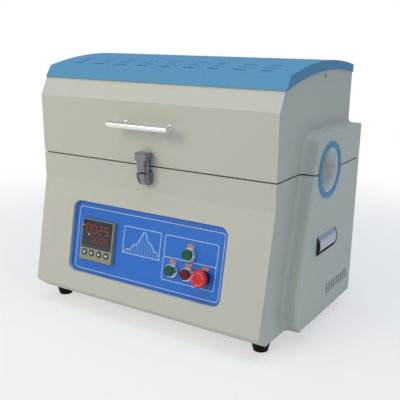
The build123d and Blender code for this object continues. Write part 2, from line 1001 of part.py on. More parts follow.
def latch_springs():
    # Two bent wires from eyes on the link pin, past the pivot, up into the sides of the hook.
    x = spring_spread / 2
    radius = spring_wire / 2
    route = [
        (x, link_depth, link_height),
        (x, -latch_pivot_reach + latch_pin_radius + radius + 0.6, -latch_pivot_drop),
        (x, -keeper_reach - 1.5, hook_rest * 0.5),
        (x, -keeper_reach + 1.5, hook_rest + hook_gap + spring_wire),
    ]
    half_eye = radius + 0.2
    wire = rod_x(latch_pin_radius + spring_eye_wall, x - half_eye, x + half_eye, link_depth, link_height)
    for start, stop in zip(route, route[1:]):
        wire += round_bar(start, stop, radius)
        wire += Pos(*stop) * Sphere(radius)
    wire -= link_rod(latch_pin_radius + running_fit, body_width)
    return [wire, mirrored(wire)]


def latch_claw():
    half = latch_width / 2 + 0.5
    stem = claw_stem_width / 2
    rest = hook_rest + hook_gap
    profile = make_face(Polyline(
        (-3.0, claw_top - 1.5), (-5.0, claw_top), (-claw_reach + 3, claw_top),
        (-claw_reach, claw_top - 3), (-claw_reach, claw_shoulder - 10),
        (-claw_reach + 4, -claw_stem_drop), (-claw_reach + 9, -claw_stem_drop),
        (-keeper_reach - 5, -claw_stem_drop + 8), (-keeper_reach - 3.5, rest - 4),
        (-keeper_reach - 3.5, rest), (-3.0, rest), close=True,
    ))
    front = make_face(Polyline(
        (-half, claw_top), (half, claw_top), (half, claw_shoulder), (stem, claw_shoulder - 2.5),
        (stem, -claw_stem_drop), (-stem, -claw_stem_drop), (-stem, claw_shoulder - 2.5),
        (-half, claw_shoulder), close=True,
    ))
    claw = side_prism(profile, latch_width) & extrude(Plane.XZ * front, 2 * claw_reach, both=True)
    for wire in latch_springs():
        claw -= wire
    return claw


def latch_keeper():
    half = keeper_width / 2
    plate = block(-half, half, -bracket_thickness, 0, seam_half + 2, hook_rest)
    ledge = block(-half, half, -keeper_reach, 0, hook_rest - 2.0, hook_rest)
    nose = block(-half, half, -keeper_reach, -keeper_reach + 2.0, hook_rest - 5.0, hook_rest)
    return plate + ledge + nose


# Hinges

def hinge_leaf(knuckles, gaps):
    # Leaf below the parting line: a plate with knuckles, cleared where the other leaf has its own.
    half = hinge_width / 2
    y = body_depth
    leaf = block(-half, half, y, y + hinge_leaf_thickness, -hinge_leaf_height, -1.0)
    clear = hinge_knuckle_radius + 1.2
    for low, high in gaps:
        leaf -= block(low, high, y - 1, y + 2 * hinge_leaf_thickness, -clear, 0)
    for low, high in knuckles:
        leaf += rod_x(hinge_knuckle_radius, low, high, hinge_axis_depth, 0)
    for x, z in hinge_screw_places():
        leaf -= rod_y(screw_radius + shank_fit, 0, 2 * body_depth, x, z)
    return leaf


def hinge_knuckle_splits():
    edge = hinge_width / 2
    inner = hinge_width / 5
    outer = [(-edge, -inner), (inner, edge)]
    middle = [(-inner + hinge_knuckle_gap, inner - hinge_knuckle_gap)]
    return outer, middle


def hinge_screw_places():
    x = hinge_width / 2 - 2 * screw_head_radius
    return [(side * x, -z) for side in (-1, 1) for z in (hinge_leaf_height * 0.4, hinge_leaf_height * 0.8)]


def both_hinges(solid):
    return [Pos(side * hinge_spread / 2, 0, 0) * solid for side in (-1, 1)]


def hinge_base_leaves():
    outer, middle = hinge_knuckle_splits()
    low, high = middle[0]
    gap = (low - 2 * hinge_knuckle_gap, high + 2 * hinge_knuckle_gap)
    leaf = hinge_leaf(outer, [gap])
    leaf -= rod_x(hinge_pin_radius, -hinge_width, hinge_width, hinge_axis_depth, 0)
    return both_hinges(leaf)


def hinge_lid_leaves():
    outer, middle = hinge_knuckle_splits()
    gaps = [
        (-hinge_width, outer[0][1] + hinge_knuckle_gap),
        (outer[1][0] - hinge_knuckle_gap, hinge_width),
    ]
    leaf = hinge_leaf(middle, gaps)
    leaf -= rod_x(hinge_pin_radius + running_fit, -hinge_width, hinge_width, hinge_axis_depth, 0)
    return both_hinges(to_lid(leaf))


def hinge_pins():
    pin = rod_x(hinge_pin_radius, -hinge_width / 2 - 1, hinge_width / 2 + 1, hinge_axis_depth, 0)
    return both_hinges(pin)


def hinge_screw_set(side):
    screws = []
    for x, z in hinge_screw_places():
        at = Pos(x, body_depth + hinge_leaf_thickness, side * -z)
        screws.append(at * Rot(-90, 0, 0) * screw(hinge_leaf_thickness))
    return [piece for one in screws for piece in both_hinges(one)]


def hinge_base_screws():
    return hinge_screw_set(-1)


def hinge_lid_screws():
    return hinge_screw_set(1)


# Carrying grips

def grip_top():
    return -grip_top_drop


def grip_plate():
    # Bowed strip across the opening, leaving a slot for the fingers along its lower edge.
    low = grip_top() - grip_height + grip_slot
    middle = (grip_top() + low) / 2
    x = end_half_width
    outer = ThreePointArc((x, grip_top()), (x + grip_bulge, middle), (x + grip_lip, low))
    inner = ThreePointArc(
        (x + grip_lip - grip_sheet, low), (x + grip_bulge - grip_sheet, middle),
        (x - grip_sheet, grip_top()),
    )
    close_low = Line((x + grip_lip, low), (x + grip_lip - grip_sheet, low))
    close_top = Line((x - grip_sheet, grip_top()), (x, grip_top()))
    face = make_face([outer, close_low, inner, close_top])
    y_low = grip_depth - grip_length / 2 + grip_cheek
    plate = extrude(Plane.XZ * face, -(grip_length - 2 * grip_cheek))
    return Pos(0, y_low, 0) * plate


def grip_plates():
    plate = grip_plate()
    return [plate, mirrored(plate)]


def grip_cup():
    # Dark cup behind the opening, with bowed cheeks that hold the ends of the grip plate.
    x = end_half_width
    wall = grip_sheet
    y_low = grip_depth - grip_length / 2
    y_high = y_low + grip_length
    z_high = grip_top()
    z_low = z_high - grip_height
    flange = x - sheet
    cup = block(x - grip_cup_depth, flange, y_low - wall, y_high + wall, z_low - wall, z_high + wall)
    cup += block(flange - wall, flange, y_low - 6, y_high + 6, z_low - 6, z_high + 6)
    cup -= block(x - grip_cup_depth + wall, x, y_low, y_high, z_low, z_high)
    cheek_outline = make_face([
        ThreePointArc((x, z_high), (x + grip_bulge + 0.8, (z_high + z_low) / 2 + 3), (x, z_low)),
        Polyline((x, z_low), (x - 10, z_low), (x - 10, z_high), (x, z_high)),
    ])
    cheek = extrude(Plane.XZ * cheek_outline, -(grip_cheek - 0.2))
    cup += Pos(0, y_low, 0) * cheek
    cup += Pos(0, y_high - grip_cheek + 0.2, 0) * cheek
    return cup


def grip_cups():
    cup = grip_cup()
    return [cup, mirrored(cup)]


# Electrical parts

def pan_top():
    return -base_height + 2 * sheet


def din_rail():
    half = rail_length / 2
    low = pan_top()
    y = rail_depth
    web = rail_width * 0.38
    rail = block(-half, half, y - web, y + web, low, low + 1)
    for side in (-1, 1):
        a, b = sorted((y + side * web, y + side * (web - 1)))
        rail += block(-half, half, a, b, low, low + rail_height)
        a, b = sorted((y + side * (web - 1), y + side * rail_width / 2))
        rail += block(-half, half, a, b, low + rail_height - 1, low + rail_height)
    return Pos(rail_across, 0, 0) * rail


def contactor():
    low = pan_top() + rail_height
    x = rail_across - 30
    half = contactor_width / 2
    body = block(x - half, x + half, rail_depth - contactor_depth / 2, rail_depth + contactor_depth / 2,
                 low, low + contactor_height * 0.6)
    body += block(x - half, x + half, rail_depth - contactor_depth / 4, rail_depth + contactor_depth / 4,
                  low, low + contactor_height)
    return body


def terminal_block():
    low = pan_top() + rail_height
    x_low = rail_across + 15
    x_high = x_low + terminal_width
    body = block(x_low, x_high, rail_depth - 22, rail_depth + 22, low, low + terminal_height * 0.7)
    body += block(x_low, x_high, rail_depth - 12, rail_depth + 12, low, low + terminal_height)
    ways = 8
    for i in range(ways):
        x = x_low + (i + 0.5) * terminal_width / ways
        for side in (-1, 1):
            body -= Pos(x, rail_depth + side * 17, low + terminal_height * 0.7) * Cylinder(2.2, 8)
    return body


def heat_sink():
    low = pan_top()
    half = sink_width / 2
    y = rail_depth
    sink = block(-half, half, y - sink_depth / 2, y + sink_depth / 2, low + sink_height - 6, low + sink_height)
    fin = 2.0
    step = (sink_width - fin) / (sink_fins - 1)
    for i in range(sink_fins):
        x = -half + i * step
        sink += block(x, x + fin, y - sink_depth / 2, y + sink_depth / 2, low, low + sink_height - 5)
    return Pos(sink_across, 0, 0) * sink


def relay():
    low = pan_top() + sink_height
    half = relay_width / 2
    body = block(
        sink_across - half, sink_across + half,
        rail_depth - relay_depth / 2, rail_depth + relay_depth / 2, low, low + relay_height,
    )
    return chamfer(body.edges().group_by(Axis.Z)[-1], 1.5)


# The sub-parts, each a list of separate solids

def as_list(shape):
    return list(shape) if isinstance(shape, list) else [shape]


places = button_places()
keys = key_places()
subparts = {
    "base_shell": base_shell(),
    "bottom_pan": bottom_pan(),
    "rear_panel": rear_panel(),
    "rear_screws": rear_screws(),
    "cable_gland": cable_gland(),
    "feet": feet(),
    "foot_screws": foot_screws(),
    "base_deck": deck(),
    "chamber_trough": trough() - thermocouple_hole(),
    "lower_insulation": insulation() - thermocouple_hole(),
    "lower_heater": heater(),
    "lower_collars": collars(),
    "lower_port_rings": port_rings(),
    "thermocouple": thermocouple(),
    "lid_buffers": lid_buffers(),
    "control_plate": control_plate(),
    "controller_case": controller_case(),
    "controller_window": controller_window(),
    "key_set": key(keys[0]),
    "key_shift": key(keys[1]),
    "key_down": key(keys[2]),
    "key_up": key(keys[3]),
    "button_bezels": button_bezels(),
    "power_button": button(places["power"]),
    "start_button": button(places["start"]),
    "stop_button": button(places["stop"]),
    "contact_blocks": contact_blocks(),
    "estop_collar": stop_collar(),
    "estop_plunger": stop_plunger(),
    "estop_mushroom": stop_mushroom(),
    "latch_bracket": latch_bracket(),
    "latch_pivot_pins": latch_pivot_pins(),
    "latch_lever": latch_lever(),
    "latch_link_pin": link_pin(),
    "latch_springs": latch_springs(),
    "latch_claw": latch_claw(),
    "latch_keeper": latch_keeper(),
    "hinge_base_leaves": hinge_base_leaves(),
    "hinge_lid_leaves": hinge_lid_leaves(),
    "hinge_pins": hinge_pins(),
    "hinge_base_screws": hinge_base_screws(),
    "hinge_lid_screws": hinge_lid_screws(),
    "grip_plates": grip_plates(),
    "grip_cups": grip_cups(),
    "din_rail": din_rail(),
    "contactor": contactor(),
    "terminal_block": terminal_block(),
    "heat_sink": heat_sink(),
    "solid_state_relay": relay(),
    "lid_shell": lid_shell(),
    "lid_cap": lid_cap(),
    "cap_brackets": cap_brackets(),
    "cap_screws": cap_screws(),
    "lid_deck": to_lid(deck()),
    "upper_trough": to_lid(trough()),
    "upper_insulation": to_lid(insulation()),
    "upper_heater": to_lid(heater()),
    "upper_collars": [to_lid(half) for half in collars()],
    "upper_port_rings": [to_lid(half) for half in port_rings()],
    "handle_set": [handle_bar(), *handle_posts()],
}

# Set down on the bench, the middle of the whole depth at y = 0
stop_reach = panel_sin * (button_lower_down + mushroom_radius - mushroom_lip)
stop_reach += panel_cos * (mushroom_rise + mushroom_thickness - window_recess)
front_reach = max(panel_lean, stop_reach)
back_reach = body_depth + sheet + gland_reach
to_bench = Pos(0, -(back_reach - front_reach) / 2, base_height + foot_height)

for name, shape in subparts.items():
    solids = [to_bench * solid for solid in as_list(shape)]
    export_step(Compound(children=solids) if len(solids) > 1 else solids[0], f"parts/{name}.step")
    print(name, len(solids))
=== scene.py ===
import json
import math
import bpy
import numpy as np
from mathutils import Matrix, Vector


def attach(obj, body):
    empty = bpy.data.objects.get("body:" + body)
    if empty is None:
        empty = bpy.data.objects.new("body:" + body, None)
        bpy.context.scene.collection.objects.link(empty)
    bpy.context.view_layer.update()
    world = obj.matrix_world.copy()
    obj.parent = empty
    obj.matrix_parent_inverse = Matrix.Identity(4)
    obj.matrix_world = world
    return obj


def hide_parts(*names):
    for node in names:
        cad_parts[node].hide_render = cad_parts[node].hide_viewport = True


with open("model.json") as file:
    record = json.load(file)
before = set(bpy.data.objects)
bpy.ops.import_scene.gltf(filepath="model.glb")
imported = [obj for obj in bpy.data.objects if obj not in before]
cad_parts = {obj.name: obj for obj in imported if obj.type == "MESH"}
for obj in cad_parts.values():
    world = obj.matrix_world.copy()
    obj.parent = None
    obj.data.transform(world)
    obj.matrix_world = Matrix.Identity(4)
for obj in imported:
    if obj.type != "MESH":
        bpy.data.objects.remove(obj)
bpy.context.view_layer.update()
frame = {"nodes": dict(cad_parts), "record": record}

nodes = frame["nodes"]
print("frame loaded,", len(nodes), "nodes")

# Camera, at the place and angle of the photograph; metres, degrees and millimetres of lens
camera = {
    "place": (0.81996, -1.25077, 0.64055),
    "yaw": 32.399, "pitch": 17.147, "roll": 0.508,
    "lens": 57.38, "sensor": 36.0, "shiftY": 0.0712, "farthest": 100.0,
}


def makeCamera(c):
    # Right, up and forward from yaw and pitch, then the roll turns right and up about forward.
    yaw, pitch, roll = (math.radians(c[k]) for k in ("yaw", "pitch", "roll"))
    right = Vector((math.cos(yaw), math.sin(yaw), 0))
    level = math.cos(pitch)
    forward = Vector((-math.sin(yaw) * level, math.cos(yaw) * level, -math.sin(pitch)))
    up = right.cross(forward)
    across = math.cos(roll) * right + math.sin(roll) * up
    upward = -math.sin(roll) * right + math.cos(roll) * up
    turn = Matrix((across, upward, -forward)).transposed().to_4x4()
    data = bpy.data.cameras.new("viewCamera")
    data.lens, data.sensor_width, data.shift_y = c["lens"], c["sensor"], c["shiftY"]
    data.clip_end = c["farthest"]
    eye = bpy.data.objects.new("viewCamera", data)
    eye.matrix_world = Matrix.Translation(c["place"]) @ turn
    bpy.context.scene.collection.objects.link(eye)
    bpy.context.scene.camera = eye


makeCamera(camera)
print("camera placed")


# Shader arithmetic
class Socket:
    def __init__(self, finish, link):
        self.finish, self.link = finish, link

    def mathNode(self, operation, first, second):
        return self.finish.add("ShaderNodeMath", {"operation": operation}, {0: first, 1: second})

    def __add__(self, other):
        return self.mathNode("ADD", self, other)

    def __radd__(self, other):
        return self.mathNode("ADD", other, self)

    def __mul__(self, other):
        return self.mathNode("MULTIPLY", self, other)

    def __rmul__(self, other):
        return self.mathNode("MULTIPLY", other, self)


class Finish:
    cornerSamples = 6

    def __init__(self, name, **settings):
        self.material = bpy.data.materials.new(name)
        self.material.use_nodes = True
        self.tree = self.material.node_tree
        self.shader = self.tree.nodes["Principled BSDF"]
        for key, value in settings.items():
            self.shader.inputs[key.replace("_", " ")].default_value = value

    def add(self, kind, settings=None, sockets=None, out=0):
        # Any node: its settings first, then the values or links of its sockets.
        node = self.tree.nodes.new(kind)
        for key, value in (settings or {}).items():
            setattr(node, key, value)
        for key, value in (sockets or {}).items():
            if isinstance(value, Socket):
                self.tree.links.new(value.link, node.inputs[key])
            else:
                node.inputs[key].default_value = value
        return Socket(self, node.outputs[out])

    def feed(self, key, value):
        self.tree.links.new(value.link, self.shader.inputs[key])

    def place(self, scale=(1, 1, 1)):
        # The piece's own coordinates, the fourth output, stretched along the axes.
        spot = self.add("ShaderNodeTexCoord", out=3)
        return self.add("ShaderNodeMapping", None, {"Vector": spot, "Scale": scale})

    def noise(self, scale, detail=3.0, rough=0.5, stretch=(1, 1, 1)):
        return self.add("ShaderNodeTexNoise", None, {
            "Vector": self.place(stretch), "Scale": scale, "Detail": detail, "Roughness": rough})

    def cells(self, scale):
        return self.add("ShaderNodeTexVoronoi", None, {"Vector": self.place(), "Scale": scale})

    def blend(self, factor, first, second):
        # Mix of two colours, each a link or plain red, green and blue.
        first, second = (c if isinstance(c, Socket) else (*c, 1) for c in (first, second))
        return self.add("ShaderNodeMix", {"data_type": "RGBA"}, {0: factor, 6: first, 7: second}, out=2)

    def relief(self, height, depth, strength, soft=0.0):
        # Bump of a depth in metres, over corners rounded by a radius in metres.
        sockets = {"Height": height, "Distance": depth, "Strength": strength}
        if soft:
            sockets["Normal"] = self.add("ShaderNodeBevel", {"samples": self.cornerSamples}, {"Radius": soft})
        self.feed("Normal", self.add("ShaderNodeBump", None, sockets))


def shade(colour, share):
    return tuple(c * share for c in colour)


powder = {"cloud": 3.0, "patch": 60.0, "patchRough": 0.1, "peel": 700.0, "peelDepth": 0.00006,
          "strength": 0.55, "coatRough": 0.25}


def powderCoat(name, colour, rough, soft, sheen, drift):
    # Baked powder: fine orange peel, a faint drift of tone and roughness.
    p = powder
    coat = Finish(name, Roughness=rough, Coat_Weight=sheen, Coat_Roughness=p["coatRough"])
    wide = coat.noise(p["cloud"], detail=2.0)
    light = tuple(min(1, c) for c in shade(colour, 1 + drift))
    coat.feed("Base Color", coat.blend(wide, shade(colour, 1 - drift), light))
    patch = coat.noise(p["patch"], detail=2.0)
    coat.feed("Roughness", rough - p["patchRough"] / 2 + patch * p["patchRough"])
    peel = coat.noise(p["peel"], detail=2.0, rough=0.6)
    coat.relief(peel, p["peelDepth"], p["strength"], soft)
    return coat


metal = {"dark": 0.82, "roughLow": 0.06, "roughSpan": 0.14, "strength": 0.5}


def plainMetal(name, colour, rough, grain, scale, depth=0.00004, soft=0.0005, metallic=1.0):
    # Sheet or bar: grain stretched along one axis in tone, roughness and relief.
    m = metal
    sheet = Finish(name, Metallic=metallic, Roughness=rough)
    streak = sheet.noise(scale, detail=4.0, rough=0.6, stretch=grain)
    sheet.feed("Base Color", sheet.blend(streak, shade(colour, m["dark"]), colour))
    sheet.feed("Roughness", rough - m["roughLow"] + streak * m["roughSpan"])
    sheet.relief(streak, depth, m["strength"], soft)
    return sheet


mould = {"wear": 40.0, "dark": 0.85, "wearRough": 0.1, "strength": 0.5, "coatRough": 0.08}


def moulded(name, colour, rough, scale=900.0, depth=0.00004, soft=0.0004, coat=0.0, shine=0.5):
    # Moulded plastic or rubber: a fine even texture and slight wear in the shine.
    m = mould
    piece = Finish(name, Roughness=rough, Coat_Weight=coat, Coat_Roughness=m["coatRough"],
                   Specular_IOR_Level=shine)
    wear = piece.noise(m["wear"])
    piece.feed("Base Color", piece.blend(wear, shade(colour, m["dark"]), colour))
    piece.feed("Roughness", rough - m["wearRough"] / 2 + wear * m["wearRough"])
    piece.relief(piece.noise(scale, detail=2.0), depth, m["strength"], soft)
    return piece


wool = {"strands": 160.0, "pits": 120.0, "cloud": 9.0, "grey": (0.9, 0.87, 0.82), "white": (0.98, 0.97, 0.96),
        "strand": (0.8, 0.78, 0.74), "strandShare": 0.3, "pitShare": 0.5, "depth": 0.0012, "strength": 0.7,
        "rough": 0.95}


def fibreFinish():
    # Vacuum-formed ceramic fibre: chalky white, matted strands and small pits.
    w = wool
    fibre = Finish("ceramicFibre", Roughness=w["rough"])
    strands = fibre.noise(w["strands"], detail=8.0, rough=0.7)
    pits = fibre.cells(w["pits"])
    tone = fibre.blend(fibre.noise(w["cloud"], detail=4.0), w["grey"], w["white"])
    fibre.feed("Base Color", fibre.blend(strands * w["strandShare"], tone, w["strand"]))
    fibre.relief(strands + pits * w["pitShare"], w["depth"], w["strength"])
    return fibre


smoke = {"rough": 0.16, "coat": 0.6, "coatRough": 0.05, "haze": 30.0, "deep": (0.012, 0.016, 0.016),
         "pale": (0.022, 0.028, 0.027), "roughLow": 0.12, "roughSpan": 0.1}


def smokedWindow():
    # Near-black tinted window with a soft shine.
    s = smoke
    glass = Finish("displaySmoke", Roughness=s["rough"], Coat_Weight=s["coat"], Coat_Roughness=s["coatRough"])
    haze = glass.noise(s["haze"])
    glass.feed("Base Color", glass.blend(haze, s["deep"], s["pale"]))
    glass.feed("Roughness", s["roughLow"] + haze * s["roughSpan"])
    return glass


def litPrint(name, colour, glow, strength, patches=220.0, dim=0.6):
    # Segments that glow faintly, uneven from one side to the other.
    lamp = Finish(name, Base_Color=(*colour, 1), Roughness=0.4, Emission_Strength=strength)
    patch = lamp.noise(patches, detail=2.0)
    lamp.feed("Emission Color", lamp.blend(patch, shade(glow, dim), glow))
    return lamp


lens = {"rough": 0.34, "coat": 0.12, "coatRough": 0.06, "shine": 0.3, "facets": 420.0, "depth": 0.0002,
        "strength": 0.3, "soft": 0.0004}


def lensCap(name, deep, bright):
    # Translucent cap: small facets under a glossy skin, each painted brighter at its middle as a painted
    # glint.
    s = lens
    cap = Finish(name, Roughness=s["rough"], Coat_Weight=s["coat"], Coat_Roughness=s["coatRough"],
                 Specular_IOR_Level=s["shine"])
    facetBumpAndGlint = cap.cells(s["facets"])
    # The facets' middles take the bright colour and their edges the deep one: a painted glint on each facet.
    cap.feed("Base Color", cap.blend(facetBumpAndGlint, bright, deep))
    cap.relief(facetBumpAndGlint, s["depth"], s["strength"], s["soft"])
    return cap


def inkPrint(name, colour, thin=500.0, dark=0.85):
    # Screen print, thin in places.
    ink = Finish(name, Roughness=0.5)
    ink.feed("Base Color", ink.blend(ink.noise(thin), shade(colour, dark), colour))
    return ink


even = (1, 1, 1)
finishes = {
    "body_paint": powderCoat("bodyPaint", (0.56, 0.55, 0.49), 0.5, soft=0.0012, sheen=0.05, drift=0.03),
    "cap_paint": powderCoat("capPaint", (0.085, 0.28, 0.48), 0.55, soft=0.001, sheen=0.0, drift=0.06),
    "panel_blue": powderCoat("panelBlue", (0.012, 0.155, 0.65), 0.4, soft=0.0, sheen=0.1, drift=0.06),
    "zinc_sheet": plainMetal("zincSheet", (0.62, 0.63, 0.64), 0.42, grain=(1, 6, 6), scale=60.0),
    "deck_steel": plainMetal("deckSteel", (0.66, 0.65, 0.63), 0.34, grain=(0.15, 6, 6), scale=220.0),
    "hinge_steel": plainMetal("hingeSteel", (0.6, 0.61, 0.63), 0.36, grain=(0.2, 4, 4), scale=260.0),
    "fastener": plainMetal("fastenerSteel", (0.36, 0.37, 0.39), 0.38, grain=even, scale=400.0),
    "spring_wire": plainMetal("springWire", (0.85, 0.86, 0.88), 0.16, grain=even, scale=500.0),
    "probe_steel": plainMetal("probeSteel", (0.6, 0.6, 0.6), 0.35, grain=(4, 0.3, 4), scale=220.0),
    "latch_plate": plainMetal("latchPlate", (0.27, 0.265, 0.3), 0.4, grain=even, scale=160.0,
                              depth=0.0001, soft=0.0007, metallic=0.6),
    "grip_metal": plainMetal("gripMetal", (0.5, 0.54, 0.64), 0.38, grain=(4, 0.15, 4), scale=240.0,
                             metallic=0.55),
    "handle_aluminium": plainMetal("handleAluminium", (0.9, 0.9, 0.88), 0.34, grain=(0.12, 5, 5), scale=260.0),
    "sink_aluminium": plainMetal("sinkAluminium", (0.6, 0.61, 0.62), 0.4, grain=(5, 0.2, 5), scale=220.0),
    "bezel_chrome": plainMetal("bezelChrome", (0.86, 0.87, 0.9), 0.12, grain=even, scale=600.0, depth=0.00002),
    "foot_rubber": moulded("footRubber", (0.006, 0.005, 0.004), 0.7, scale=700.0, depth=0.0001, soft=0.0008,
                           shine=0.15),
    "black_plastic": moulded("blackPlastic", (0.016, 0.017, 0.019), 0.5, shine=0.3),
    "controller_plastic": moulded("controllerPlastic", (0.3, 0.29, 0.2), 0.45),
    "display_smoke": smokedWindow(),
    "key_black": moulded("keyBlack", (0.02, 0.021, 0.022), 0.5, scale=1200.0),
    # Each cap's second colour is the painted glint at its facets' middles.
    "green_cap": lensCap("greenCap", (0.0, 0.06, 0.03), (0.0, 0.15, 0.07)),
    "dark_red_cap": lensCap("darkRedCap", (0.07, 0.0, 0.006), (0.19, 0.003, 0.015)),
    "mushroom_red": moulded("mushroomRed", (0.7, 0.02, 0.03), 0.36, scale=500.0, depth=0.00003, soft=0.0006,
                            coat=0.12, shine=0.35),
    "terminal_green": moulded("terminalGreen", (0.2, 0.34, 0.24), 0.55),
    "ceramic_fibre": fibreFinish(),
    "heater_alloy": plainMetal("heaterAlloy", (0.3, 0.27, 0.24), 0.55, grain=even, scale=300.0),
}
inks = {
    "white": inkPrint("whiteInk", (0.6, 0.7, 0.86)),
    "pale": inkPrint("paleInk", (0.16, 0.31, 0.75)),
    "pink": inkPrint("pinkInk", (0.84, 0.42, 0.42)),
    "orange": inkPrint("orangeInk", (0.95, 0.3, 0.03)),
    "segments": litPrint("redSegments", (0.12, 0.01, 0.008), (0.5, 0.07, 0.04), strength=0.45),
}
for entry in frame["record"]["subparts"]:
    for slot in nodes[entry["node"]].material_slots:
        slot.material = finishes[entry["material_slot"]].material
print("finishes given to the frame's nodes")

# The panel's own axes: u across, v down the slope from the crease, w out of the face, in millimetres.
# Its crease stands at y and z, in metres, and plate is the height w of the printed face.
panelFace = {"y": -0.170839, "z": 0.305, "lean": 52.0, "drop": 251.0, "plate": -9.0}
slopeLength = math.hypot(panelFace["lean"], panelFace["drop"])
panelRight = np.array([1.0, 0.0, 0.0])
panelDown = np.array([0.0, -panelFace["lean"], -panelFace["drop"]]) / slopeLength
panelOut = np.array([0.0, -panelFace["drop"], panelFace["lean"]]) / slopeLength
panelStart = np.array([0.0, panelFace["y"], panelFace["z"]])


def onPanel(u, v, w):
    # Crease middle + u across + v down the slope + w out of the face, millimetres made metres.
    u, v, w = np.broadcast_arrays(*(np.asarray(a, float) for a in (u, v, w)))
    flat = u[..., None] * panelRight + v[..., None] * panelDown + w[..., None] * panelOut
    return panelStart + flat / 1000


def gridFaces(rows, columns, closeRows=False, closeColumns=False):
    # Quads between neighbours of a grid of rows by columns, joined round where closed.
    row = np.arange(rows if closeRows else rows - 1)[:, None]
    column = np.arange(columns if closeColumns else columns - 1)[None, :]
    nextRow, nextColumn = (row + 1) % rows, (column + 1) % columns
    corners = [row * columns + column, nextRow * columns + column,
               nextRow * columns + nextColumn, row * columns + nextColumn]
    return np.stack([c.ravel() for c in np.broadcast_arrays(*corners)], axis=1)


def ringEnds(rows, columns):
    # The faces that close a tube's first and last ring, both facing away from the tube.
    first = np.arange(columns)
    return first, (rows - 1) * columns + first[::-1]


def makePiece(name, sheets, body, finish, smooth=False):
    # Joins sheets of (points, quads, any end faces) in one mesh that rides on a body.
    points, faces, count = [], [], 0
    for sheetPoints, quads, *ends in sheets:
        flat = np.asarray(sheetPoints, float).reshape(-1, 3)
        points.append(flat)
        faces += (quads + count).tolist()
        faces += [(end + count).tolist() for end in ends]
        count += len(flat)
    mesh = bpy.data.meshes.new(name)
    mesh.from_pydata(np.concatenate(points).tolist(), [], faces)
    mesh.polygons.foreach_set("use_smooth", [smooth] * len(mesh.polygons))
    mesh.materials.append(finish.material)
    mesh.update()
    piece = bpy.data.objects.new(name, mesh)
    bpy.context.scene.collection.objects.link(piece)
    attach(piece, body)
    return piece


def roundedLoop(uLow, uHigh, vLow, vHigh, radius, steps=8):
    # Four quarter arcs about the corners' centres, counted clockwise as seen from outside.
    turn = np.linspace(0, math.pi / 2, steps)
    centres = [(uHigh - radius, vHigh - radius), (uLow + radius, vHigh - radius),
               (uLow + radius, vLow + radius), (uHigh - radius, vLow + radius)]
    arcs = []
    for quarter, (u, v) in enumerate(centres):
        angle = turn + quarter * math.pi / 2
        arcs.append(np.stack([u + radius * np.cos(angle), v + radius * np.sin(angle)], 1))
    return np.concatenate(arcs)


# Section of a printed ridge: its flat top is this share of its width
ridge = {"top": 0.84, "thick": 0.08}


def inkLine(path, width, base, closed=False, thick=ridge["thick"]):
    # A low ridge along a path in (u, v): each point moved along its mitred side by the section's offsets.
    path = np.asarray(path, float)
    ahead = np.roll(path, -1, 0) - path
    if not closed:
        ahead[-1] = ahead[-2]
    ahead /= np.linalg.norm(ahead, axis=1, keepdims=True)
    behind = np.roll(ahead, 1, 0)
    if not closed:
        behind[0] = ahead[0]
    side = np.stack([ahead[:, 1] + behind[:, 1], -ahead[:, 0] - behind[:, 0]], 1)
    side *= 2 / np.maximum((side ** 2).sum(1, keepdims=True), 1.0)
    offsets = np.array([-1, -ridge["top"], ridge["top"], 1]) * width / 2
    heights = np.array([0.0, thick, thick, 0.0]) + base
    spot = path[:, None, :] + offsets[None, :, None] * side[:, None, :]
    points = onPanel(spot[..., 0], spot[..., 1], heights[None, :])
    return points, gridFaces(len(path), 4, closeRows=closed)


def inkBar(uLow, uHigh, v, height, base):
    return inkLine([(uLow, v), (uHigh, v)], height, base)


# Printed lines of the panel: loops as left, right, top, bottom and corner radius
panelPrint = {
    "line": 1.5, "lift": 0.05,
    "border": (-197.0, 200.0, 58.0, 204.0, 8.0),
    "frames": [(53.0, 187.0, 84.5, 132.2, 5.0), (53.0, 187.0, 132.2, 183.0, 5.0)], "frameStep": 0.03,
    "chart": (-60.0, 41.0, 84.0, 144.5), "chartCorner": 1.0, "cornerSteps": 3,
    "ticks": 4, "tickLength": 3.0, "tickHeight": 1.4, "gap": 1.0,
    "bars": 11, "barWidth": 2.6, "barStart": -46.0, "barPitch": 7.8, "barSink": 0.02,
    "curveWidth": 1.65, "curveLift": 0.05,
    "curve": [(-60, 144), (-49, 134.5), (-41, 135.5), (-30, 121), (-23, 122.5), (-13, 104), (-6, 90.5),
              (0, 91.5), (9, 110.5), (17, 113.5), (27, 128), (34, 129), (41, 139)],
}


def printPanel(p):
    base = panelFace["plate"] + p["lift"]
    gap = p["gap"]
    sheets = [inkLine(roundedLoop(*p["border"]), p["line"], base, True)]
    for i, loop in enumerate(p["frames"]):
        sheets.append(inkLine(roundedLoop(*loop), p["line"], base + p["frameStep"] * i, True))
    left, right, top, low = p["chart"]
    chart = roundedLoop(*p["chart"], p["chartCorner"], p["cornerSteps"])
    sheets.append(inkLine(chart, p["line"], base, True))
    for v in np.linspace(low, top, p["ticks"] + 1)[:-1]:
        sheets.append(inkBar(left - gap - p["tickLength"], left - gap, v, p["tickHeight"], base))
    sheets.append(inkBar(right + gap, right + gap + p["tickLength"], low, p["tickHeight"], base))
    curve = np.array(p["curve"], float)
    sheets.append(inkLine(curve, p["curveWidth"], base + p["curveLift"]))
    makePiece("panelPrint", sheets, "base", inks["white"])
    across = p["barStart"] + p["barPitch"] * np.arange(p["bars"])
    tops = np.interp(across, curve[:, 0], curve[:, 1])
    bars = []
    for u, v in zip(across, tops):
        bars.append(inkLine([(u, v + gap), (u, low - gap)], p["barWidth"], base - p["barSink"]))
    makePiece("chartBars", bars, "base", inks["pale"])


printPanel(panelPrint)
print("panel printed")

# Words over the buttons: text and the place of its middle; bold in metres
labels = {
    "height": 7.0, "thick": 0.06, "lift": 0.05, "bold": 0.0005, "letterShare": 0.72,
    "words": [("ON", 119.0, 98.5), ("ON", 78.0, 140.3), ("OFF", 119.0, 140.8), ("OFF", 161.5, 140.8)],
}


